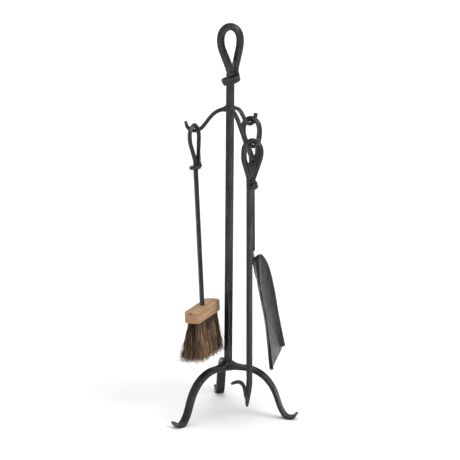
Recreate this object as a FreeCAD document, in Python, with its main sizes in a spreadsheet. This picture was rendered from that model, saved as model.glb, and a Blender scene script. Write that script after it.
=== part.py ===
# Hand-forged fireplace tool set: a three-legged stand with three hooked arms carrying a
# hearth brush, a poker and an ash shovel. Millimetres, +Z up, origin on the floor under
# the post's axis. Azimuths are counted from +X towards +Y, the front of the set is -Y.
import FreeCAD, Part
import math
import os
import Sketcher
from FreeCAD import Placement, Rotation, Vector

# ---------------------------------------------------------------- driving sizes
SIZES = {
    # stand
    "overall_height": 790,
    "post_side": 12.5,
    "post_foot_height": 92,
    "arm_root_height": 620.5,
    "arm_width": 7.4,
    "arm_thickness": 7.2,
    "leg_root_height": 98,
    "leg_reach": 125,
    "leg_width": 17.5,
    "leg_thickness": 9.0,
    # loop handles
    "handle_loop_height": 110,
    "handle_loop_half_width": 17.9,
    "brush_loop_height": 88,
    "poker_loop_height": 97,
    "shovel_loop_height": 99,
    "tool_loop_half_width": 15.6,
    # tools
    "brush_bar_side": 8.2,
    "brush_shaft_length": 269.5,
    "block_length": 117,
    "block_width": 33,
    "block_height": 23,
    "bristle_length": 80,
    "poker_bar_side": 9.5,
    "poker_shaft_length": 440,
    "shovel_bar_side": 9.0,
    "shovel_shaft_length": 167,
    "pan_length": 222,
    "pan_width": 140,
    "pan_wall": 14.3,
    "pan_lip_wall": 8.0,
    "pan_sheet": 1.8,
    "rivet_shank": 5.0,
}
CORNER = 0.15              # corner radius of every square bar, as a share of its side
BAR_TURN = -42             # the bars were bent on the corner: section turned in the loop plane
DRAWN_OUT = 0.92           # thickness of a bar in its loop, as a share of its side
HOOK_GAP = 0.8             # air between a hook's top and the loop resting on it
ARM_SOFTNESS = 0.3         # corner radius of an arm, as a share of its thinner side
LEG_SOFTNESS = 0.22
SEAT_GAP = 0.1             # air between two pieces of one tool that only sit together

# name: azimuth, reach of the hook, drop of the hook below the arm's root, how early the
# arm falls (1 is even), how far its upturned end leans out
ARMS = {
    "arm_left": (180, 70, 44, 1.0, 1.0),
    "arm_back": (55, 72, 44, 1.0, 1.0),
    "arm_front": (-55, 75, 58.5, 1.5, 1.25),
}
LEGS = {"leg_right": -14, "leg_left": -138, "leg_back": 98}

# centre line of an arm down to its hook: share of the reach, share of the drop,
# share of the thickness
ARM_LINE = [
    (0.09, 0.0, 2.5), (0.16, 0.02, 1.4), (0.28, 0.07, 1.02), (0.42, 0.19, 1.0),
    (0.56, 0.42, 1.0), (0.68, 0.68, 1.0), (0.83, 0.93, 1.0), (1.0, 1.0, 1.0),
]
# the hook's upturned end: millimetres past the hook, millimetres above it, thickness share
HOOK_LINE = [(8.5, 3.2, 0.97), (13.5, 10.2, 0.9), (15.8, 18.0, 0.76)]
# centre line of a leg: share of the reach, share of the root height, share of the thickness
LEG_LINE = [
    (0.05, 1.015, 2.2), (0.10, 1.01, 1.45), (0.18, 1.0, 1.02), (0.34, 0.99, 0.98),
    (0.47, 0.94, 0.96), (0.58, 0.855, 0.94), (0.67, 0.74, 0.92), (0.745, 0.59, 0.88),
    (0.80, 0.42, 0.84), (0.845, 0.255, 0.8), (0.90, 0.12, 0.78), (0.95, 0.048, 0.78),
    (1.0, 0.027, 0.76), (1.05, 0.04, 0.7), (1.09, 0.076, 0.62), (1.115, 0.12, 0.5),
]
# centre line of a loop from the neck over the top and down again: share of the half width,
# of the bar's side (backwards) and of the loop's height
LOOP_LINE = [
    (-0.10, 0, 0.26), (-0.37, 0, 0.38), (-0.68, 0, 0.515), (-0.92, 0, 0.63), (-1.0, 0, 0.745),
    (-0.93, 0, 0.855), (-0.62, 0, 0.95), (0.03, 0, 1.0), (0.66, 0, 0.955), (0.99, 0, 0.86),
    (1.07, 0, 0.745), (0.98, 0.05, 0.61), (0.82, 0.28, 0.485), (0.67, 0.58, 0.365),
    (0.56, 0.82, 0.26),
]
# how a loop's free strand is laid round the neck: its depth behind the loop, as a share of
# LOOP_LINE's; azimuth where it meets the neck; azimuth of its tip; fall in half a turn, as a
# share of the side; slack on the +X side in millimetres
WRAPS = {
    "post": (1.0, 38, -172, 0.66, 0.0),
    "brush": (-0.3, -10, -232, 0.36, -0.6),
    "poker": (1.0, 38, -125, 0.66, 2.2),
    "shovel": (1.0, 38, -160, 0.66, 0.0),
}
# how a bar's tip tapers: thicknesses before the end, share of the full section
TIP_TAPER = [(1.0, 1.0), (0.5, 0.93), (0.2, 0.8), (0.0, 0.6)]
LOOP_FOOT = 0.165          # share of the loop height where the bar starts to bend
LOOP_CROWN = 0.03          # sideways place of the loop's top, as a share of its half width

doc = FreeCAD.newDocument("fireplace_tool_set")
sheet = doc.addObject("Spreadsheet::Sheet", "sizes")
for row, (alias, number) in enumerate(SIZES.items(), start=1):
    sheet.set(f"A{row}", alias)
    sheet.set(f"B{row}", str(number))
    sheet.setAlias(f"B{row}", alias)
doc.recompute()


def size(alias):
    return float(sheet.get(alias))


# ---------------------------------------------------------------- sketch helpers
def plane(body, role):
    return next(f for f in body.Origin.OriginFeatures if f.Role == role)


def sketch_on(body, role, name, lift=0.0, aside=(0, 0)):
    """An empty sketch on one of the body's own origin planes, lifted and moved aside."""
    sketch = body.newObject("Sketcher::SketchObject", name)
    sketch.AttachmentSupport = (plane(body, role), "")
    sketch.MapMode = "FlatFace"
    sketch.AttachmentOffset = Placement(Vector(*aside, lift), Rotation())
    return sketch


def rounded_rectangle(sketch, along, across, radius, along_rule=None, across_rule=None):
    """A centred rectangle with round corners; the rules bind its two sides to the sheet."""
    x, y = along / 2 - radius, across / 2 - radius
    centres = [(x, y), (-x, y), (-x, -y), (x, -y)]
    for quarter, (cx, cy) in enumerate(centres):
        circle = Part.Circle(Vector(cx, cy, 0), Vector(0, 0, 1), radius)
        start = quarter * math.pi / 2
        sketch.addGeometry(Part.ArcOfCircle(circle, start, start + math.pi / 2))
    for quarter, (cx, cy) in enumerate(centres):
        nx, ny = centres[(quarter + 1) % 4]
        out = Vector(math.cos((quarter + 1) * math.pi / 2), math.sin((quarter + 1) * math.pi / 2), 0)
        start, end = Vector(cx, cy, 0) + out * radius, Vector(nx, ny, 0) + out * radius
        sketch.addGeometry(Part.LineSegment(start, end))
    for quarter in range(4):
        line = 4 + quarter
        sketch.addConstraint(Sketcher.Constraint("Tangent", quarter, 2, line, 1))
        sketch.addConstraint(Sketcher.Constraint("Tangent", line, 2, (quarter + 1) % 4, 1))
        sketch.addConstraint(Sketcher.Constraint("Horizontal" if quarter % 2 == 0 else "Vertical", line))
    for quarter in range(1, 4):
        sketch.addConstraint(Sketcher.Constraint("Equal", 0, quarter))
    sketch.addConstraint(Sketcher.Constraint("Radius", 0, radius))
    sketch.addConstraint(Sketcher.Constraint("Symmetric", 0, 3, 2, 3, -1, 1))
    wide = sketch.addConstraint(Sketcher.Constraint("DistanceX", 5, 1, 7, 1, along))
    deep = sketch.addConstraint(Sketcher.Constraint("DistanceY", 6, 1, 4, 1, across))
    if along_rule:
        sketch.setExpression(f"Constraints[{wide}]", along_rule)
    if across_rule:
        sketch.setExpression(f"Constraints[{deep}]", across_rule)


def through(points):
    """A smooth curve through the points."""
    curve = Part.BSplineCurve()
    curve.interpolate(points)
    return curve


def both_sides(line, thicknesses):
    """The points half a thickness above and below a centre line."""
    curve = through(line)
    upper, lower = [], []
    for point, thickness in zip(line, thicknesses):
        tangent = curve.tangent(curve.parameter(point))[0]
        normal = Vector(-tangent.y, tangent.x, 0)
        upper.append(point + normal * (thickness / 2))
        lower.append(point - normal * (thickness / 2))
    return upper, lower


def closed_strip(sketch, line, thicknesses):
    """Outline of a bar seen from its side: two smooth edges and two short ends."""
    upper, lower = both_sides(line, thicknesses)
    sketch.addGeometry(through(upper))
    sketch.addGeometry(Part.LineSegment(upper[-1], lower[-1]))
    sketch.addGeometry(through(list(reversed(lower))))
    sketch.addGeometry(Part.LineSegment(lower[0], upper[0]))


def pad(body, sketch, name, rule, symmetric=False, reverse=False):
    feature = body.newObject("PartDesign::Pad", name)
    feature.Profile = sketch
    feature.setExpression("Length", rule)
    feature.SideType = "Symmetric" if symmetric else "One side"
    feature.Reversed = reverse
    sketch.Visibility = False
    doc.recompute()
    return feature


def soften(body, feature, name, radius, wanted):
    """Round the feature's edges that pass the test."""
    edges = [f"Edge{n}" for n, edge in enumerate(feature.Shape.Edges, 1) if wanted(edge)]
    fillet = body.newObject("PartDesign::Fillet", name)
    fillet.Base = (feature, edges)
    fillet.Radius = radius
    doc.recompute()
    return fillet


# ---------------------------------------------------------------- forged square bar
def bar_section(centre, side_way, other_way, side, other_side, softness=CORNER):
    """Wire of a round-cornered bar section around a point, in the plane of the two directions."""
    radius = min(side, other_side) * softness
    edges = []
    half, other_half = side / 2, other_side / 2
    for quarter in range(4):
        angle = quarter * math.pi / 2
        a = side_way * math.cos(angle) + other_way * math.sin(angle)
        b = other_way * math.cos(angle) - side_way * math.sin(angle)
        corner = centre + a * (half - radius) + b * (other_half - radius)
        middle = corner + (a + b) * (radius * math.sqrt(0.5))
        start = centre + a * half - b * (other_half - radius)
        end = corner + a * radius
        edges.append(Part.LineSegment(start, end).toShape())
        edges.append(Part.Arc(end, middle, corner + b * radius).toShape())
        half, other_half = other_half, half
    return Part.Wire(edges)


def square_section(centre, side_way, other_way, side):
    return bar_section(centre, side_way, other_way, side, side)


def skinned(*runs):
    """One solid from runs of section wires, each run starting at the last wire before it."""
    faces = [Part.Face(runs[0][0]), Part.Face(runs[-1][-1])]
    for run in runs:
        faces += Part.makeLoft(run, False, len(run) == 2).Faces
    shell = Part.makeShell(faces)
    shell.sewShape()
    solid = Part.makeSolid(shell)
    if solid.Volume < 0:
        solid.reverse()
    return solid


def forged_bar(points, side, settle, end_thick, end_width, stations):
    """Sections of a square bar bent through the points, starting upright in the XZ plane.

    Between the two shares of its length in settle, the section turns flat to the bend and
    takes on the end sizes; the tip is rounded off.
    """
    curve = Part.BSplineCurve()
    curve.interpolate(Points=points, InitialTangent=Vector(0, 0, 1),
                      FinalTangent=points[-1] - points[-2])
    length = curve.length()
    tip = end_thick
    places = [(n / stations * (length - tip), 1.0) for n in range(stations)]
    places += [(length - share * tip, swell) for share, swell in TIP_TAPER]
    across = Vector(1, 0, 0)
    wires = []
    for place, swell in places:
        at = curve.parameterAtDistance(place, curve.FirstParameter)
        centre, tangent = curve.value(at), curve.tangent(at)[0]
        across = (across - tangent * across.dot(tangent)).normalize()
        other = tangent.cross(across)
        drawn = side * (1 - (1 - DRAWN_OUT) * min(1.0, 4 * place / length))
        done = min(1.0, max(0.0, (place / length - settle[0]) / (settle[1] - settle[0])))
        done = done * done * (3 - 2 * done)
        angle = math.radians(BAR_TURN * (1 - done))
        facing = across * math.cos(angle) + other * math.sin(angle)
        thick = (drawn + (end_thick - drawn) * done) * swell
        width = (drawn + (end_width - drawn) * done) * swell
        wires.append(bar_section(centre, facing, tangent.cross(facing), thick, width))
    return wires


def turned(degrees):
    return Vector(math.cos(math.radians(degrees)), math.sin(math.radians(degrees)), 0)


def half_extent(side):
    """Half the width of the corner-bent bar, seen in its loop's plane."""
    spread = abs(math.cos(math.radians(BAR_TURN))) + abs(math.sin(math.radians(BAR_TURN)))
    return side / 2 * spread - side * CORNER * (spread - 1)


def looped_bar(side, half_width, height, skew, wrap, bottom):
    """A straight shaft whose upper end is bent over into a loop and wrapped round the neck.

    The skew shifts the loop sideways off the shaft's axis. The wrap passes the neck on the
    +X side and in front, the way its row of WRAPS says.
    """
    depth, meeting, tip_azimuth, fall, slack = WRAPS[wrap]
    end_thick, end_width = side * 0.85, side * 0.95
    reach = half_extent(side) + end_thick * 0.51
    points = [Vector(0, 0, height * LOOP_FOOT)]
    for x, y, z in LOOP_LINE:
        lean = min(1.0, max(0.0, (z - LOOP_FOOT) / 0.58))
        points.append(Vector(x * half_width + skew * lean, y * side * depth, z * height))
    points.append(turned(meeting) * reach + Vector(0, 0, height * 0.165))
    first = meeting - 38
    steps = max(3, round((first - tip_azimuth) / 33))
    for n in range(steps + 1):
        azimuth = first + (tip_azimuth - first) * n / steps
        level = height * 0.095 - side * fall * (first - azimuth) / 180
        away = reach + slack * max(0.0, math.cos(math.radians(azimuth)))
        points.append(turned(azimuth) * away + Vector(0, 0, level))
    loop = forged_bar(points, side, (0.66, 0.84), end_thick, end_width, 50)
    way = turned(BAR_TURN)
    foot = square_section(Vector(0, 0, bottom), way, Vector(0, 0, 1).cross(way), side)
    return skinned([foot, loop[0]], loop)


def feature(label, shape, placement=None):
    """A piece whose shape was forged by the functions above."""
    node = doc.addObject("Part::Feature", label)
    node.Label = label
    node.Shape = shape
    if placement:
        node.Placement = placement
    return node


nodes = []

# ---------------------------------------------------------------- stand
post_side = size("post_side")
post_foot = size("post_foot_height")
handle_height = size("handle_loop_height")
collar_height = size("overall_height") - half_extent(post_side) - handle_height
post = looped_bar(post_side, size("handle_loop_half_width"), handle_height, -1.0, "post",
                  post_foot - collar_height)
nodes.append(feature("post", post, Placement(Vector(0, 0, collar_height), Rotation())))


def stand_bar(label, azimuth, line, thicknesses, width, softness):
    """A bar bent in the upright plane through the post's axis and coped to the post."""
    curve = through(line)
    wires = []
    for point, thickness in zip(line, thicknesses):
        tangent = curve.tangent(curve.parameter(point))[0]
        normal = tangent.cross(Vector(0, 1, 0))
        wires.append(bar_section(point, normal, Vector(0, 1, 0), thickness, width, softness))
    bar = Part.makeLoft(wires, True, False)
    below, above = bar.BoundBox.ZMin - 1, bar.BoundBox.ZMax + 1
    way = turned(BAR_TURN - azimuth)
    seat = square_section(Vector(0, 0, below), way, Vector(0, 0, 1).cross(way), post_side)
    return bar.cut(Part.Face(seat).extrude(Vector(0, 0, above - below)))


def upright(azimuth):
    return Placement(Vector(), Rotation(Vector(0, 0, 1), azimuth))


arm_root = size("arm_root_height")
for label, (azimuth, reach, drop, early, lean_out) in ARMS.items():
    arm_line = [Vector(x ** early * reach, 0, arm_root - z * drop) for x, z, t in ARM_LINE]
    arm_line += [Vector(reach + x * lean_out, 0, arm_root - drop + z) for x, z, t in HOOK_LINE]
    arm_thick = [t * size("arm_thickness") for x, z, t in ARM_LINE + HOOK_LINE]
    arm = stand_bar(label, azimuth, arm_line, arm_thick, size("arm_width"), ARM_SOFTNESS)
    nodes.append(feature(label, arm, upright(azimuth)))

leg_reach = size("leg_reach")
leg_width = size("leg_width")
leg_line = [Vector(x * leg_reach, 0, z * size("leg_root_height")) for x, z, t in LEG_LINE]
leg_thick = [t * size("leg_thickness") for x, z, t in LEG_LINE]
turns = sorted(LEGS.values())
narrowest = min((b - a) % 360 for a, b in zip(turns, turns[1:] + turns[:1]))
mitre = math.tan(math.radians(narrowest / 2))
for label, azimuth in LEGS.items():
    leg = stand_bar(label, azimuth, leg_line, leg_thick, leg_width, LEG_SOFTNESS)
    # the foot stands on a small flat
    leg = leg.cut(Part.makeBox(leg_reach, 2 * leg_width, leg_width, Vector(leg_reach / 2, -leg_width, -leg_width)))
    # the roots are mitred against each other
    for side in (1, -1):
        edge = side * SEAT_GAP / 2
        corners = [Vector(-leg_width, edge, 0), Vector(0, edge, 0),
                   Vector(leg_width / mitre, edge + side * leg_width, 0),
                   Vector(-leg_width, edge + side * leg_width, 0)]
        wedge = Part.Face(Part.makePolygon(corners + corners[:1]))
        leg = leg.cut(wedge.extrude(Vector(0, 0, 2 * size("leg_root_height"))))
    nodes.append(feature(label, leg, upright(azimuth)))


# ---------------------------------------------------------------- hanging the tools
def hung(arm, side, loop_height, skew, yaw, lean_right, lean_away):
    """Frame of a tool whose loop rests on an arm's hook; the leans move its lower end."""
    azimuth, reach, drop = ARMS[arm][:3]
    rise = size("arm_thickness") / 2 + HOOK_GAP + half_extent(side)
    spot = turned(azimuth) * reach + Vector(0, 0, size("arm_root_height") - drop + rise)
    turn = (Rotation(Vector(0, 1, 0), -lean_right) * Rotation(Vector(1, 0, 0), lean_away)
            * Rotation(Vector(0, 0, 1), yaw))
    top = Vector(LOOP_CROWN * size("tool_loop_half_width") + skew, 0, loop_height)
    return Placement(spot - turn.multVec(top), turn)


def tool_bar(side, loop_height, skew, wrap, shaft_length):
    """Loop, neck and straight shaft of a tool, forged from one bar; the collar is at zero."""
    return looped_bar(side, size("tool_loop_half_width"), loop_height, skew, wrap, -shaft_length)


# brush: the bar ends in a round tang driven into a wooden block
brush_side = size("brush_bar_side")
shaft_end = size("brush_shaft_length")
tang_radius = 3.2
tang_depth = 14
brush_loop = size("brush_loop_height")
brush_frame = hung("arm_left", brush_side, brush_loop, 0, 58, 3.0, -3.2)
tang = Part.makeCylinder(tang_radius, tang_depth + 1, Vector(0, 0, -shaft_end - tang_depth))
brush_bar = tool_bar(brush_side, brush_loop, 0, "brush", shaft_end).fuse(tang)
nodes.append(feature("brush_bar", brush_bar, brush_frame))

block = doc.addObject("PartDesign::Body", "brush_block")
block.Label = "brush_block"
block_twist = 11
block_place = Placement(Vector(0, 0, -shaft_end - size("block_height")),
                        Rotation(Vector(0, 0, 1), block_twist))
block.Placement = brush_frame * block_place
block_plan = sketch_on(block, "XY_Plane", "block_plan")
rounded_rectangle(block_plan, size("block_length"), size("block_width"), 9,
                  "sizes.block_length", "sizes.block_width")
blank = pad(block, block_plan, "block_blank", "sizes.block_height")
blank = soften(block, blank, "block_soft", 2.8,
               lambda edge: abs(edge.BoundBox.ZMax - edge.BoundBox.ZMin) < 1e-6)
bore = sketch_on(block, "XY_Plane", "block_bore", lift=size("block_height"))
bore.addGeometry(Part.Circle(Vector(), Vector(0, 0, 1), tang_radius + SEAT_GAP))
hole = block.newObject("PartDesign::Pocket", "block_hole")
hole.Profile = bore
hole.Length = tang_depth + 0.5
solid_block = block.Shape.Volume
doc.recompute()
if block.Shape.Volume >= solid_block:
    raise RuntimeError("the tang's bore removed nothing")
nodes.append(block)

bristles = doc.addObject("PartDesign::Body", "brush_bristles")
bristles.Label = "brush_bristles"
bristle_drop = size("bristle_length")
bristles.Placement = brush_frame * block_place * Placement(Vector(0, 0, -bristle_drop), Rotation())
# rings of the tuft: share of its height, inset of each end and of the width, corner
# radius, and how far the ring is swept aside along the block and across it
TUFT_RINGS = [(1.0, 6, 8, 8, 0, 0), (0.5, 3, 3, 11, -1, 2), (0.0, -2, -7, 13, -4, 6)]
levels = []
for n, (share, inset_long, inset_wide, radius, back, aside) in enumerate(TUFT_RINGS):
    ring = sketch_on(bristles, "XY_Plane", f"tuft_ring{n}", bristle_drop * share, (back, aside))
    rounded_rectangle(ring, size("block_length") - 2 * inset_long,
                      size("block_width") - inset_wide, radius,
                      f"sizes.block_length - {2 * inset_long}", f"sizes.block_width - {inset_wide}")
    levels.append(ring)
doc.recompute()
tuft = bristles.newObject("PartDesign::AdditiveLoft", "tuft")
tuft.Profile = levels[0]
tuft.Sections = levels[1:]
doc.recompute()
nodes.append(bristles)

# poker: the shaft is drawn out to a bent point, a curled barb is forge-welded to it
poker_side = size("poker_bar_side")
poker_end = size("poker_shaft_length")
point_length = 66
poker_skew = 5.0           # its loop sits to one side of its shaft
poker_loop = size("poker_loop_height")
poker_frame = hung("arm_front", poker_side, poker_loop, poker_skew, 4, 0.5, 0.0)
way = turned(BAR_TURN)
point_line = [(0, 0.0, 1.0), (0.25, -0.1, 1.0), (0.5, -1.4, 0.94), (0.75, -3.4, 0.76),
              (0.93, -4.4, 0.54), (1.0, -4.4, 0.36)]
point_wires = []
for share, x, thick in point_line:
    middle = Vector(x, 0, -poker_end + point_length * (1 - share))
    point_wires.append(square_section(middle, way, Vector(0, 0, 1).cross(way), poker_side * thick))
poker_point = Part.makeLoft(point_wires, True, False)
poker_bar = tool_bar(poker_side, poker_loop, poker_skew, "poker", poker_end - point_length).fuse(poker_point)
nodes.append(feature("poker_bar", poker_bar, poker_frame))

barb_line = [(-6.4, 18), (-8.4, 29), (-10.0, 39), (-13.6, 47), (-19.5, 51), (-27.5, 50.6), (-35.8, 47.4)]
barb_thick = [5.8, 6.6, 7.0, 7.0, 6.4, 5.2, 2.8]
barb = doc.addObject("PartDesign::Body", "barb_blank")
barb_outline = sketch_on(barb, "XZ_Plane", "barb_outline")
closed_strip(barb_outline, [Vector(x, z - poker_end, 0) for x, z in barb_line], barb_thick)
barb_bar = pad(barb, barb_outline, "barb_bar", "sizes.poker_bar_side * 0.8", symmetric=True)
soften(barb, barb_bar, "barb_soft", 1.1, lambda edge: edge.Length > 12)
barb.Placement = poker_frame
poker_copy = doc.getObject("poker_bar")
poker_barb = doc.addObject("Part::Cut", "poker_barb")
poker_barb.Label = "poker_barb"
poker_barb.Base = barb
poker_barb.Tool = poker_copy
doc.recompute()
nodes.append(poker_barb)

# shovel: the shaft ends in a flat tongue riveted to the back of a raised-edge pan
shovel_side = size("shovel_bar_side")
shovel_end = size("shovel_shaft_length")
pan_pitch = 11.4
pan_sheet = size("pan_sheet")
shank = size("rivet_shank") / 2
head_radius = shank * 2
head_height = shank * 0.95
tongue_width = 15
tongue_thick = 4.0
tongue_length = 50
neck_length = 11
pan_start = 4              # from the neck's end to the pan's back edge
rivet_places = (15, 35)    # from the pan's back edge
shovel_skew = -1.0
shovel_loop = size("shovel_loop_height")
shovel_frame = hung("arm_back", shovel_side, shovel_loop, shovel_skew, -10.5, 0.85, 2.0)
pan_turn = Rotation(Vector(0, 1, 0), 90 - pan_pitch)
down_pan = pan_turn.multVec(Vector(1, 0, 0))
out_pan = pan_turn.multVec(Vector(0, 0, 1))
shaft_foot = Vector(0, 0, -shovel_end)
neck_foot = Vector(0, 0, -shovel_end - neck_length)
pan_place = Placement(neck_foot + down_pan * pan_start + out_pan * (tongue_thick / 2), pan_turn)

neck_wires = []
for n in range(7):
    share = n / 6
    ease = share * share * (3 - 2 * share)
    facing = turned(BAR_TURN * (1 - ease))
    bend = Vector(0, 0, 1).cross(facing)
    if n == 6:
        facing, bend = out_pan, Vector(0, 1, 0)
    thick = shovel_side + (tongue_thick - shovel_side) * ease
    width = shovel_side + (tongue_width - shovel_side) * ease
    neck_wires.append(bar_section(shaft_foot + (neck_foot - shaft_foot) * share, facing, bend, thick, width))
neck = Part.makeLoft(neck_wires, True, False)
tongue = Part.Face(neck_wires[-1]).extrude(down_pan * tongue_length)
shovel_bar = tool_bar(shovel_side, shovel_loop, shovel_skew, "shovel", shovel_end).fuse([neck, tongue])
for along in rivet_places:
    spot = pan_place.multVec(Vector(along, 0, -2 * tongue_thick))
    shovel_bar = shovel_bar.cut(Part.makeCylinder(shank + SEAT_GAP, 4 * tongue_thick, spot, out_pan))
nodes.append(feature("shovel_bar", shovel_bar, shovel_frame))

# half of the pan's rim and of its flat floor from the middle of the back edge towards the
# lip: shares of length and half width; the floor is a strip that fans out to the lip
PAN_RIM = [(0, 0), (0.03, 0.215), (0.10, 0.49), (0.20, 0.715), (0.32, 0.80), (0.50, 0.80), (0.75, 0.88)]
PAN_FLOOR = [(0.035, 0), (0.045, 0.10), (0.10, 0.155), (0.20, 0.175), (0.34, 0.18), (0.52, 0.235),
             (0.76, 0.61)]
PAN_NOSE = 5               # chamfer at the lip's corners
FLOOR_CORNER = 0.955       # half width of the floor at the lip, as a share of the rim's
# how the sheet curves up out of the floor: share of the wall's height, share of the way
# from the floor's outline to the rim's
PAN_BELLY = [(0, 0), (0.09, 0.3), (0.28, 0.62), (0.58, 0.87), (1.0, 1.0)]


def pan_outline(lift, way, inset, overrun):
    """The pan's plan between floor and rim, drawn inside itself and run on past the lip."""
    length, half = size("pan_length"), size("pan_width") / 2
    spread = FLOOR_CORNER + (1 - FLOOR_CORNER) * way
    side = [Vector((x0 + (x1 - x0) * way) * length, (y0 + (y1 - y0) * way) * half, 0)
            for (x0, y0), (x1, y1) in zip(PAN_FLOOR, PAN_RIM)]
    side.append(Vector(length - PAN_NOSE, spread * half, 0))
    mirrored = [Vector(p.x, -p.y, 0) for p in reversed(side[1:])]
    line = mirrored + side
    inner = both_sides(line, [2 * inset] * len(line))[1] if inset else line
    start, end = inner[0], inner[-1]
    nose = 0 if overrun else PAN_NOSE - inset * 0.4
    tip = length + overrun
    corners = [end, Vector(tip, end.y - nose, 0), Vector(tip, start.y + nose, 0), start]
    edges = [through(inner).toShape()]
    edges += [Part.LineSegment(a, b).toShape() for a, b in zip(corners, corners[1:])]
    wire = Part.Wire(edges)
    wire.translate(Vector(0, 0, lift))
    return wire


def bowl(floor, rim, inset, overrun):
    """The solid inside a pan-shaped wall between two heights."""
    wires = [pan_outline(floor + share * (rim - floor), way, inset, overrun)
             for share, way in PAN_BELLY]
    return Part.makeLoft(wires, True, False)


wall = size("pan_wall")
pan = bowl(0, wall, 0, 0).cut(bowl(pan_sheet, wall + 0.01, pan_sheet, 20))
# the wall runs down towards the lip
fall_from = size("pan_length") * 0.45
past_lip = size("pan_length") + 1
lip_wall = size("pan_lip_wall")
wide = size("pan_width")
corners = [Vector(fall_from, -wide, wall), Vector(past_lip, -wide, lip_wall), Vector(past_lip, -wide, 2 * wall),
           Vector(fall_from, -wide, 2 * wall)]
pan = pan.cut(Part.Face(Part.makePolygon(corners + corners[:1])).extrude(Vector(0, 2 * wide, 0)))
for along in rivet_places:
    spot = Vector(along, 0, -pan_sheet)
    pan = pan.cut(Part.makeCylinder(shank + SEAT_GAP, 3 * pan_sheet, spot))
nodes.append(feature("shovel_pan", pan, shovel_frame * pan_place))


def domed_rivet(spot):
    """A rivet along local Z: shank through tongue and pan, a low dome at each end."""
    round_radius = (head_radius ** 2 + head_height ** 2) / (2 * head_height)
    rim_angle = math.degrees(math.asin(1 - head_height / round_radius))
    rivet = Part.makeCylinder(shank, tongue_thick + pan_sheet, Vector(0, 0, -tongue_thick))
    for seat, way_out in ((-tongue_thick, -1), (pan_sheet, 1)):
        centre = Vector(0, 0, seat + way_out * (head_height - round_radius))
        rivet = rivet.fuse(Part.makeSphere(round_radius, centre, Vector(0, 0, way_out), rim_angle, 90, 360))
    rivet.translate(spot)
    return rivet


rivets = Part.makeCompound([domed_rivet(Vector(along, 0, 0)) for along in rivet_places])
nodes.append(feature("shovel_rivets", rivets, shovel_frame * pan_place))

# ---------------------------------------------------------------- checks and files
doc.recompute()
for item in doc.Objects:
    if {"Invalid", "Error"} & set(item.State):
        raise RuntimeError(f"{item.Name} did not compute: {item.State}")
os.makedirs("parts", exist_ok=True)
for node in nodes:
    shape = node.Shape
    if shape.isNull() or not shape.isValid() or not shape.Solids:
        raise RuntimeError(f"{node.Label} is not a sound solid")
    shape.exportStep(f"parts/{node.Label}.step")
    box = shape.BoundBox
    print(f"{node.Label}: {len(shape.Solids)} solid(s), volume {shape.Volume:.0f},"
          f" x {box.XMin:.1f}..{box.XMax:.1f} y {box.YMin:.1f}..{box.YMax:.1f} z {box.ZMin:.1f}..{box.ZMax:.1f}")
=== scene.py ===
# Looks of the forged fireplace tool set: hammered blackened iron, a beech brush back and a
# tuft of real fibres, on a white studio floor. Metres, +Z up, front towards -Y.
import math
import random

import bpy
import numpy as np
from mathutils import Matrix, Vector


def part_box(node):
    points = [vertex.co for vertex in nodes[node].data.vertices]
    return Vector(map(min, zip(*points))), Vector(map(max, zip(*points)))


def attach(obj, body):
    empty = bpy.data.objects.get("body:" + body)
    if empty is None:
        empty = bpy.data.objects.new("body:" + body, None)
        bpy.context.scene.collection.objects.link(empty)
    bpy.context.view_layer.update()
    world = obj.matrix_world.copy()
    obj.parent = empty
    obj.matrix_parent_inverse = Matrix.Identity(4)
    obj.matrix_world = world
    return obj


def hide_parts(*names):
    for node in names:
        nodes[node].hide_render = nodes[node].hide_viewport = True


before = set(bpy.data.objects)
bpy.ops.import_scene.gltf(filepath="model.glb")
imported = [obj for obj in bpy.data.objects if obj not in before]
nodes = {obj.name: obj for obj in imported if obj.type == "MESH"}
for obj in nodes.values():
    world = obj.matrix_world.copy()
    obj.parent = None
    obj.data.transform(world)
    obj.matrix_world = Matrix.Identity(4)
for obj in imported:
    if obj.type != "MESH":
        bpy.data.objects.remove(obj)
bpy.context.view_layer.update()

# ---------------------------------------------------------------- picture and object facts
CAMERA_ELEVATION = 16.0        # degrees above the horizon
CAMERA_DISTANCE = 6.0
CAMERA_AIM_HEIGHT = 0.395      # half the set's height
CAMERA_ROLL = 0.45
CAMERA_LENS = 241.3
CAMERA_SHIFT = (0.0017, -0.0191)

SET_MIDDLE = Vector((0, 0, 0.4))
FLOOR_RADIUS = 30.0
FLOOR_SIDES = 64

SEED = 7
FIBRES = 3600
FIBRE_STRAYS = 120
FIBRE_RADIUS = 0.00042
FIBRE_STEPS = 7
BLOCK_INSET = 0.0065           # bare wood round the tuft
ROOT_DEPTH = 0.001             # of a fibre in the block
TIP_OVERRUN = 0.003            # of the fibres past the CAD tuft's mean foot
SPLAY_LONG = 0.0035            # widening of the tuft along the block, down to its tips
SPLAY_LEFT = 0.0085            # widening across the block, on its left and right side
SPLAY_RIGHT = 0.005
SPLAY_SPREAD = (0.0042, 0.0036)
STRAY_SPLAY = 0.013
FIBRE_BOW = 0.0045             # outward bow of the outermost fibres
FIBRE_BOW_SPREAD = 0.002
FIBRE_KINK = 0.0011
LONGEST_FIBRE = 1.05           # share of the drop

# beads in the corners between the leg roots: azimuth and distance from the post's axis
WELDS = {"weld_front": (-76, 0.0099), "weld_right": (42, 0.0105), "weld_left": (160, 0.0099)}
WELD_DROP = 0.0095             # middle of a bead below the top of the legs
WELD_HEIGHT = 0.015
WELD_RADIUS = 0.0036
WELD_RINGS = 14
WELD_SIDES = 12


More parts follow.
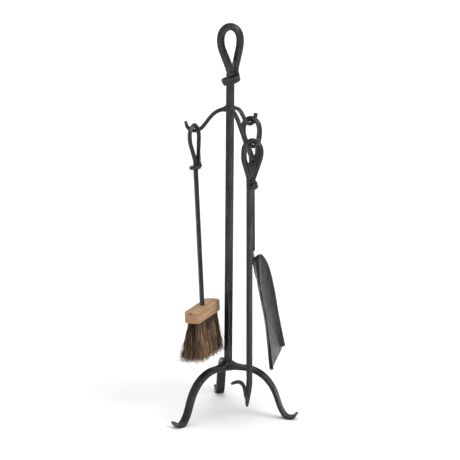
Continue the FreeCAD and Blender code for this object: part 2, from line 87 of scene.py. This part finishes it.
# ---------------------------------------------------------------- node helpers
class Shader:
    """A material's node tree with short calls for adding and joining nodes."""

    def __init__(self, name):
        self.material = bpy.data.materials.new(name)
        self.material.use_nodes = True
        self.tree = self.material.node_tree
        self.surface = self.tree.nodes["Principled BSDF"]

    def node(self, kind, **values):
        made = self.tree.nodes.new(kind)
        for key, value in values.items():
            if key in made.inputs:
                made.inputs[key].default_value = value
            else:
                setattr(made, key, value)
        return made

    def join(self, output, target):
        self.tree.links.new(output, target)

    def place(self, scale=(1, 1, 1), turn=(0, 0, 0)):
        """Object coordinates, turned and scaled."""
        where = self.node("ShaderNodeTexCoord")
        mapping = self.node("ShaderNodeMapping")
        mapping.inputs["Rotation"].default_value = turn
        mapping.inputs["Scale"].default_value = scale
        self.join(where.outputs["Object"], mapping.inputs["Vector"])
        return mapping.outputs["Vector"]

    def noise(self, place, scale, detail=4.0, rough=0.55, warp=0.0):
        made = self.node("ShaderNodeTexNoise", Scale=scale, Detail=detail, Roughness=rough,
                         Distortion=warp)
        self.join(place, made.inputs["Vector"])
        return made.outputs["Fac"]

    def cells(self, place, scale, smooth=0.6):
        made = self.node("ShaderNodeTexVoronoi", feature="SMOOTH_F1", Scale=scale, Smoothness=smooth)
        self.join(place, made.inputs["Vector"])
        return made.outputs["Distance"]

    def ramp(self, value, stops):
        """Colour ramp with the given (place, colour) stops."""
        made = self.node("ShaderNodeValToRGB")
        elements = made.color_ramp.elements
        while len(elements) < len(stops):
            elements.new(0.5)
        for element, (where, colour) in zip(elements, stops):
            element.position = where
            element.color = (*colour, 1.0)
        self.join(value, made.inputs["Fac"])
        return made.outputs["Color"]

    def span(self, value, low, high, start=0.0, end=1.0):
        """The value remapped from start..end to low..high."""
        made = self.node("ShaderNodeMapRange")
        for key, number in (("From Min", start), ("From Max", end), ("To Min", low), ("To Max", high)):
            made.inputs[key].default_value = number
        self.join(value, made.inputs["Value"])
        return made.outputs["Result"]

    def maths(self, operation, a, b):
        made = self.node("ShaderNodeMath", operation=operation)
        for socket, value in zip(made.inputs, (a, b)):
            if isinstance(value, (int, float)):
                socket.default_value = value
            else:
                self.join(value, socket)
        return made.outputs["Value"]

    def mix(self, share, a, b, blend="MIX"):
        """Colour a to colour b by share; each is a colour or an output."""
        made = self.node("ShaderNodeMix", data_type="RGBA", blend_type=blend)
        for socket, value in ((made.inputs[0], share), (made.inputs[6], a), (made.inputs[7], b)):
            if isinstance(value, bpy.types.NodeSocket):
                self.join(value, socket)
            else:
                socket.default_value = (*value, 1.0) if isinstance(value, tuple) else value
        return made.outputs[2]

    def bump(self, height, distance, strength=1.0, below=None):
        made = self.node("ShaderNodeBump", Strength=strength, Distance=distance)
        self.join(height, made.inputs["Height"])
        if below is not None:
            self.join(below, made.inputs["Normal"])
        return made.outputs["Normal"]


# ---------------------------------------------------------------- materials
def forged_iron(name, along, stretch=0.35):
    """Blackened hammered iron; dents run a little longer along the bar's direction."""
    shader = Shader(name)
    turn = Vector((0, 0, 1)).rotation_difference(along).inverted().to_euler()
    place = shader.place(scale=(1, 1, stretch), turn=turn)
    plain = shader.place()
    dents = shader.cells(place, 95.0, 0.9)
    swell = shader.noise(place, 38.0, 2.0)
    scale_skin = shader.noise(plain, 420.0, 6.0, 0.65)
    grit = shader.noise(plain, 1900.0, 3.0, 0.6)
    patches = shader.noise(plain, 26.0, 5.0, 0.6, 0.6)

    colour = shader.ramp(patches, [(0.3, (0.009, 0.009, 0.009)), (0.55, (0.017, 0.017, 0.018)),
                                   (0.8, (0.030, 0.030, 0.032))])
    worn = shader.span(scale_skin, 0.0, 1.0, 0.5, 0.75)
    colour = shader.mix(worn, colour, (0.07, 0.07, 0.075))
    # Painted highlight and rubbed wear: edges, found where the bevelled normal turns away from the
    # face normal, are lightened in patches to a bluish grey that stands in for both bare rubbed metal
    # and edge highlights.
    edge = shader.node("ShaderNodeBevel", samples=6)
    edge.inputs["Radius"].default_value = 0.0022
    geometry = shader.node("ShaderNodeNewGeometry")
    bent = shader.node("ShaderNodeVectorMath", operation="DOT_PRODUCT")
    shader.join(edge.outputs["Normal"], bent.inputs[0])
    shader.join(geometry.outputs["Normal"], bent.inputs[1])
    rubbed_and_highlit_edges = shader.span(bent.outputs["Value"], 1.0, 0.0, 0.86, 0.995)
    rubbed_and_highlit_edges = shader.maths("MULTIPLY", rubbed_and_highlit_edges, shader.span(patches, 0.25, 1.0, 0.35, 0.7))
    colour = shader.mix(rubbed_and_highlit_edges, colour, (0.27, 0.28, 0.30))
    shader.join(colour, shader.surface.inputs["Base Color"])
    shader.surface.inputs["Metallic"].default_value = 0.45
    shader.surface.inputs["Specular IOR Level"].default_value = 0.45
    shader.join(shader.span(scale_skin, 0.26, 0.50, 0.25, 0.75), shader.surface.inputs["Roughness"])

    normal = shader.bump(dents, 0.0036, 0.75)
    normal = shader.bump(swell, 0.0042, 0.75, normal)
    normal = shader.bump(scale_skin, 0.00022, 0.5, normal)
    normal = shader.bump(grit, 0.00008, 0.5, normal)
    shader.join(normal, shader.surface.inputs["Normal"])
    return shader.material


def beech(name, along, up, knot):
    """Bare beech: pores and growth rings along the block, darker end grain, one small knot."""
    shader = Shader(name)
    side = up.cross(along).normalized()
    turn = Matrix((along, side, up)).to_euler()
    place = shader.place(turn=turn)
    grain_place = shader.node("ShaderNodeVectorMath", operation="MULTIPLY")
    grain_place.inputs[1].default_value = (0.06, 1.0, 1.0)
    shader.join(place, grain_place.inputs[0])
    long_way = grain_place.outputs["Vector"]
    rings = shader.noise(long_way, 70.0, 3.0, 0.5, 1.2)
    streaks = shader.noise(long_way, 330.0, 4.0, 0.6)
    pores = shader.noise(long_way, 1500.0, 2.0, 0.5)
    warmth = shader.noise(place, 22.0, 3.0)

    colour = shader.ramp(rings, [(0.30, (0.29, 0.165, 0.083)), (0.5, (0.40, 0.252, 0.138)),
                                 (0.70, (0.47, 0.312, 0.183))])
    colour = shader.mix(shader.span(streaks, 0.0, 0.85, 0.46, 0.68), colour, (0.25, 0.140, 0.070))
    colour = shader.mix(shader.span(pores, 0.0, 0.45, 0.60, 0.78), colour, (0.17, 0.095, 0.048))
    colour = shader.mix(shader.span(warmth, 0.0, 0.45, 0.35, 0.75), colour, (0.50, 0.31, 0.165))
    geometry = shader.node("ShaderNodeNewGeometry")
    facing = shader.node("ShaderNodeVectorMath", operation="DOT_PRODUCT")
    facing.inputs[1].default_value = along
    shader.join(geometry.outputs["True Normal"], facing.inputs[0])
    end_facing = shader.maths("ABSOLUTE", facing.outputs["Value"], 0.0)
    end_grain = shader.span(end_facing, 0.0, 0.62, 0.6, 0.95)
    colour = shader.mix(end_grain, colour, (0.33, 0.185, 0.095))
    away = shader.node("ShaderNodeVectorMath", operation="DISTANCE")
    away.inputs[1].default_value = knot
    shader.join(shader.place(), away.inputs[0])
    wavy = shader.maths("ADD", away.outputs["Value"], shader.span(warmth, -0.002, 0.002))
    colour = shader.mix(shader.span(wavy, 0.85, 0.0, 0.0008, 0.0040), colour, (0.085, 0.040, 0.018))
    shader.join(colour, shader.surface.inputs["Base Color"])
    shader.join(shader.span(streaks, 0.48, 0.66), shader.surface.inputs["Roughness"])
    shader.surface.inputs["Specular IOR Level"].default_value = 0.35
    normal = shader.bump(streaks, 0.00015, 0.5)
    normal = shader.bump(pores, 0.00010, 0.5, normal)
    shader.join(normal, shader.surface.inputs["Normal"])
    return shader.material


def coir(name, root_height, tip_height):
    """Coarse plant fibre: dark and straw-coloured strands, paler at the tips, with painted shade
    darkening them towards near black at the roots under the block.
    """
    shader = Shader(name)
    geometry = shader.node("ShaderNodeNewGeometry")
    lone = geometry.outputs["Random Per Island"]
    bundles = shader.noise(shader.place(scale=(1, 1, 0.05)), 210.0, 2.0)
    bundle_shade = shader.span(bundles, -0.04, 0.56, 0.36, 0.64)
    shade = shader.maths("ADD", shader.maths("MULTIPLY", lone, 0.5), bundle_shade)
    colour = shader.ramp(shade, [(0.15, (0.009, 0.005, 0.003)), (0.40, (0.034, 0.018, 0.009)),
                                 (0.60, (0.105, 0.058, 0.027)), (0.78, (0.28, 0.165, 0.080)),
                                 (0.92, (0.47, 0.31, 0.17))])
    split = shader.node("ShaderNodeSeparateXYZ")
    shader.join(shader.place(), split.inputs["Vector"])
    tips = shader.span(split.outputs["Z"], 1.0, 0.0, tip_height, root_height)
    colour = shader.mix(shader.maths("MULTIPLY", tips, 0.24), colour, (0.30, 0.185, 0.095))
    # Painted shade under the block: the top 26 mm of every fibre darkens towards near black.
    roots = shader.span(split.outputs["Z"], 0.0, 0.72, root_height - 0.026, root_height)
    colour = shader.mix(roots, colour, (0.012, 0.007, 0.004))
    mottled = shader.noise(shader.place(), 900.0, 3.0)
    colour = shader.mix(shader.span(mottled, 0.0, 0.5, 0.5, 0.8), colour, (0.050, 0.030, 0.017))
    shader.join(colour, shader.surface.inputs["Base Color"])
    shader.join(shader.span(mottled, 0.5, 0.75), shader.surface.inputs["Roughness"])
    shader.surface.inputs["Specular IOR Level"].default_value = 0.3
    shader.join(shader.bump(mottled, 0.0001, 0.6), shader.surface.inputs["Normal"])
    return shader.material


def studio_floor(name):
    """Matt white paper with a barely visible tooth."""
    shader = Shader(name)
    tooth = shader.noise(shader.place(), 300.0, 3.0)
    colour = shader.mix(shader.span(tooth, 0.0, 1.0), (0.90, 0.90, 0.90), (0.93, 0.93, 0.93))
    shader.join(colour, shader.surface.inputs["Base Color"])
    shader.surface.inputs["Roughness"].default_value = 0.9
    shader.surface.inputs["Specular IOR Level"].default_value = 0.05
    shader.join(shader.bump(tooth, 0.0001, 0.2), shader.surface.inputs["Normal"])
    return shader.material


# ---------------------------------------------------------------- shapes
def principal_axes(node):
    """The directions of greatest, middle and least spread of a node's vertices."""
    points = np.array([v.co for v in nodes[node].data.vertices])
    spread = np.linalg.svd(points - points.mean(0), full_matrices=False)[2]
    return [Vector(axis) for axis in spread]


def add_piece(name, vertices, faces, material, smooth=False):
    """A linked mesh object with one material."""
    mesh = bpy.data.meshes.new(name)
    mesh.from_pydata(vertices, [], faces)
    for face in mesh.polygons:
        face.use_smooth = smooth
    mesh.materials.append(material)
    piece = bpy.data.objects.new(name, mesh)
    bpy.context.scene.collection.objects.link(piece)
    return piece


def block_frame():
    """Origin in the middle of the brush block's underside; long, cross and up directions."""
    along, across, up = principal_axes("brush_block")
    if up.z < 0:
        up = -up
    if along.y < 0:
        along = -along
    across = up.cross(along)
    corners = np.array([v.co for v in nodes["brush_block"].data.vertices])
    reach = [(corners @ np.array(axis)) for axis in (along, across, up)]
    middle = [(r.min() + r.max()) / 2 for r in reach]
    origin = along * middle[0] + across * middle[1] + up * reach[2].min()
    size = [r.max() - r.min() for r in reach]
    return origin, along, across, up, size


def fibre_path(root, foot, length, sag, wobble, rng):
    """Points from the root down to the foot, bowed outwards and slightly kinked."""
    points = []
    way = foot - root
    for step in range(FIBRE_STEPS + 1):
        share = step / FIBRE_STEPS
        bow = sag * math.sin(share * math.pi * 0.5) * share
        kink = Vector((rng.gauss(0, wobble), rng.gauss(0, wobble), 0)) * share
        points.append(root + way * share * length + bow + kink)
    return points


def add_tube(points, radius, vertices, faces):
    """A three-sided tapering tube through the points."""
    first = len(vertices)
    side = Vector((1, 0, 0))
    for n, point in enumerate(points):
        along = (points[min(n + 1, len(points) - 1)] - points[max(n - 1, 0)]).normalized()
        side = (side - along * side.dot(along)).normalized()
        other = along.cross(side)
        width = radius * (1.0 - 0.55 * n / (len(points) - 1))
        for corner in range(3):
            angle = corner * 2 * math.pi / 3
            vertices.append(point + (side * math.cos(angle) + other * math.sin(angle)) * width)
    for n in range(len(points) - 1):
        for corner in range(3):
            a = first + 3 * n + corner
            b = first + 3 * n + (corner + 1) % 3
            faces.append((a, b, b + 3, a + 3))
    faces.append((first + 2, first + 1, first))
    last = first + 3 * (len(points) - 1)
    faces.append((last, last + 1, last + 2))


def bristle_tuft():
    """Fibres set in the block's underside, splaying outwards and ending raggedly."""
    rng = random.Random(SEED)
    origin, along, across, up, (length, width, _) = block_frame()
    low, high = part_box("brush_bristles")
    drop = (high.z - low.z) * 0.93
    tuft = np.array([v.co for v in nodes["brush_bristles"].data.vertices])
    foot_points = tuft[tuft[:, 2] < low.z + 0.1 * drop]
    foot_centre = Vector(foot_points.mean(0)) - origin
    shift_along, shift_across = foot_centre.dot(along), foot_centre.dot(across)
    vertices, faces = [], []
    half_long, half_wide = length / 2 - BLOCK_INSET, width / 2 - BLOCK_INSET * 0.6
    for n in range(FIBRES + FIBRE_STRAYS):
        stray = n >= FIBRES
        u, v = rng.uniform(-1, 1), rng.uniform(-1, 1)
        if stray:
            u, v = rng.choice((-1, 1)) * rng.uniform(0.6, 1), rng.uniform(-1, 1)
        if abs(u) + abs(v) > 1.82:
            u, v = u * 0.85, v * 0.85
        root = origin + along * (u * half_long) + across * (v * half_wide) + up * ROOT_DEPTH
        splay_long = u * SPLAY_LONG + rng.gauss(0, SPLAY_SPREAD[0])
        splay_wide = v * (SPLAY_LEFT if v > 0 else SPLAY_RIGHT) + rng.gauss(0, SPLAY_SPREAD[1])
        reach = rng.gauss(0.99, 0.05) - 0.07 * rng.random() ** 3
        if stray:
            splay_long += math.copysign(rng.uniform(0.002, STRAY_SPLAY), u)
            splay_wide += math.copysign(rng.uniform(0.0, STRAY_SPLAY), v)
            reach = rng.uniform(0.75, 1.04)
        foot = root - up * (drop + TIP_OVERRUN)
        foot = foot + along * (splay_long + shift_along) + across * (splay_wide + shift_across)
        sag = across * (v * FIBRE_BOW + rng.gauss(0, FIBRE_BOW_SPREAD))
        sag = sag + along * rng.gauss(0, FIBRE_BOW_SPREAD)
        radius = FIBRE_RADIUS * (0.6 if stray else rng.uniform(0.7, 1.2))
        path = fibre_path(root, foot, min(reach, LONGEST_FIBRE), sag, FIBRE_KINK, rng)
        add_tube(path, radius, vertices, faces)
    fibres = add_piece("bristle_fibres", vertices, faces, coir("coir", origin.z, origin.z - drop))
    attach(fibres, "brush")
    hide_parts("brush_bristles")


def root_weld(name, azimuth, distance):
    """A lumpy upright bead that fills the corner between two leg roots."""
    rng = random.Random(name)
    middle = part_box("leg_right")[1].z - WELD_DROP
    vertices, faces = [], []
    for ring in range(WELD_RINGS + 1):
        share = ring / WELD_RINGS
        bulge = math.sqrt(max(0.0, 1 - (2 * share - 1) ** 4))
        lump = 1 + 0.10 * math.sin(ring * 2.4) + rng.uniform(-0.05, 0.05)
        radius = max(0.0004, WELD_RADIUS * bulge * lump)
        for corner in range(WELD_SIDES):
            angle = corner * 2 * math.pi / WELD_SIDES
            vertices.append(Vector((distance * math.cos(azimuth) + radius * math.cos(angle),
                                    distance * math.sin(azimuth) + radius * math.sin(angle),
                                    middle + (share - 0.5) * WELD_HEIGHT)))
    for ring in range(WELD_RINGS):
        for corner in range(WELD_SIDES):
            a, b = ring * WELD_SIDES + corner, ring * WELD_SIDES + (corner + 1) % WELD_SIDES
            faces.append((a, b, b + WELD_SIDES, a + WELD_SIDES))
    faces.append(tuple(reversed(range(WELD_SIDES))))
    faces.append(tuple(range(WELD_RINGS * WELD_SIDES, (WELD_RINGS + 1) * WELD_SIDES)))
    iron = forged_iron("iron_" + name, Vector((0, 0, 1)))
    bead = add_piece(name, vertices, faces, iron, smooth=True)
    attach(bead, "stand")


def dress_nodes():
    """Gives every CAD node except the bristle tuft its own material."""
    origin, along, across, up, (length, _, height) = block_frame()
    knot = origin - along * (length / 2 - 0.001) + across * 0.001 + up * (height - 0.003)
    for name, node in nodes.items():
        if name == "brush_bristles":
            continue
        if name == "brush_block":
            material = beech("beech", along, up, knot)
        else:
            material = forged_iron(f"iron_{name}", principal_axes(name)[0])
        node.data.materials.clear()
        node.data.materials.append(material)


# ---------------------------------------------------------------- studio
def paper_floor():
    """A wide flat round floor: white to the edge of the picture from every side."""
    rim = [(FLOOR_RADIUS * math.cos(a), FLOOR_RADIUS * math.sin(a), 0.0)
           for a in (2 * math.pi * n / FLOOR_SIDES for n in range(FLOOR_SIDES))]
    face = tuple(range(FLOOR_SIDES))
    add_piece("paper_floor", rim, [face], studio_floor("white_paper"))


def soft_sun(name, place, strength, spread):
    """Even light over the whole floor, coming from the place towards the set, with soft shadows."""
    light = bpy.data.lights.new(name, "SUN")
    light.energy = strength
    light.angle = math.radians(spread)
    lamp = bpy.data.objects.new(name, light)
    lamp.location = place
    lamp.rotation_euler = (SET_MIDDLE - Vector(place)).to_track_quat("-Z", "Y").to_euler()
    bpy.context.scene.collection.objects.link(lamp)


def studio_light():
    world = bpy.data.worlds.new("studio")
    world.use_nodes = True
    world.node_tree.nodes["Background"].inputs["Color"].default_value = (1.0, 1.0, 1.0, 1.0)
    world.node_tree.nodes["Background"].inputs["Strength"].default_value = 0.50
    bpy.context.scene.world = world
    bpy.context.scene.view_settings.view_transform = "Standard"
    soft_sun("key", (2.6, -1.4, 2.4), 1.65, 34)
    soft_sun("fill", (-2.6, -2.0, 1.6), 0.37, 29)
    soft_sun("top", (0, 0.5, 3.4), 1.50, 62)


def camera():
    tilt = math.radians(CAMERA_ELEVATION)
    lens = bpy.data.cameras.new("camera")
    lens.lens = CAMERA_LENS
    lens.sensor_width = 36.0
    lens.shift_x, lens.shift_y = CAMERA_SHIFT
    lens.clip_end = 100.0
    eye = bpy.data.objects.new("camera", lens)
    rolled = Matrix.Rotation(math.radians(CAMERA_ROLL), 4, "Z")
    level = Matrix.Rotation(math.pi / 2 - tilt, 4, "X") @ rolled
    back, rise = CAMERA_DISTANCE * math.cos(tilt), CAMERA_DISTANCE * math.sin(tilt)
    eye.matrix_world = Matrix.Translation(Vector((0, -back, CAMERA_AIM_HEIGHT + rise))) @ level
    bpy.context.scene.collection.objects.link(eye)
    bpy.context.scene.camera = eye


dress_nodes()
bristle_tuft()
for weld, (azimuth, distance) in WELDS.items():
    root_weld(weld, math.radians(azimuth), distance)
paper_floor()
studio_light()
camera()
